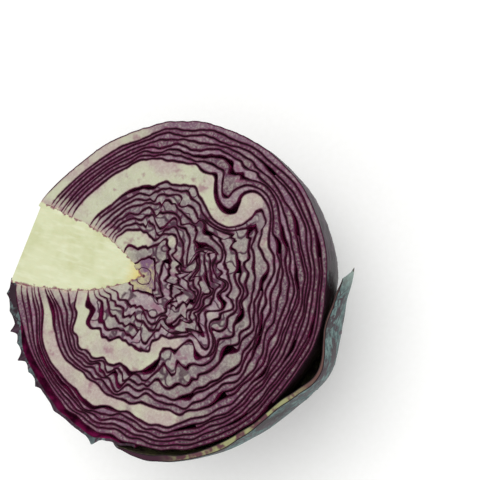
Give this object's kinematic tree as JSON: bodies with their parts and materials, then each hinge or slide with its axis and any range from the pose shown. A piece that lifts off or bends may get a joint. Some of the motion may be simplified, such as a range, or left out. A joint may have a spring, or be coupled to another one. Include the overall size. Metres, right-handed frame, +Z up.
{
  "type": "red cabbage half",
  "caption": "Half of a head of red cabbage, cut through the core: tightly folded leaves with pale ribs round a solid core, lying on its rounded back with the cut face up.",
  "frame": {"origin": "bottom centre of the bounding box, at the height of the small flat spot the half rests on", "axes": "+X along the core from the trimmed stem to the top of the head, +Z up and out of the cut face, +Y across the cut face"},
  "size_m": [0.1596, 0.1518, 0.0777],
  "materials": {
    "core_flesh": "moist pale cream-green flesh, cut smooth",
    "leaf_flesh": "purple skin over pale grey-mauve flesh, moist on the cut",
    "rib_flesh": "thick creamy white rib with purple skin, moist on the cut",
    "outer_skin": "dark purple-brown leaf with a matte blue-grey wax bloom"
  },
  "bodies": {
    "root": {"core": "core_flesh", "heart": "core_flesh", "wrapper_loose": "outer_skin", "wrapper_torn": "outer_skin", "leaf_u1": "outer_skin", "leaf_l1": "leaf_flesh", "leaf_l2": "leaf_flesh", "leaf_u2": "leaf_flesh", "leaf_l3": "leaf_flesh", "leaf_u3": "leaf_flesh", "leaf_l4": "leaf_flesh", "leaf_u4": "leaf_flesh", "leaf_l5": "leaf_flesh", "leaf_u5": "leaf_flesh", "rib_leaf_low": "rib_flesh", "leaf_u6": "leaf_flesh", "leaf_l6": "leaf_flesh", "leaf_u7": "leaf_flesh", "leaf_l7": "leaf_flesh", "rib_leaf_high": "rib_flesh", "leaf_l8": "leaf_flesh", "leaf_u8": "leaf_flesh", "leaf_l9": "leaf_flesh", "leaf_u9": "leaf_flesh", "leaf_l10": "leaf_flesh", "leaf_u10": "leaf_flesh", "rib_leaf_wave": "rib_flesh", "leaf_u11": "leaf_flesh", "leaf_l11": "leaf_flesh", "leaf_u12": "leaf_flesh", "leaf_l12": "leaf_flesh", "leaf_u13": "leaf_flesh", "leaf_l13": "leaf_flesh", "leaf_u14": "leaf_flesh", "leaf_l14": "leaf_flesh", "rib_leaf_heart": "rib_flesh", "leaf_l15": "leaf_flesh", "leaf_u15": "leaf_flesh"}
  },
  "joints": []
}
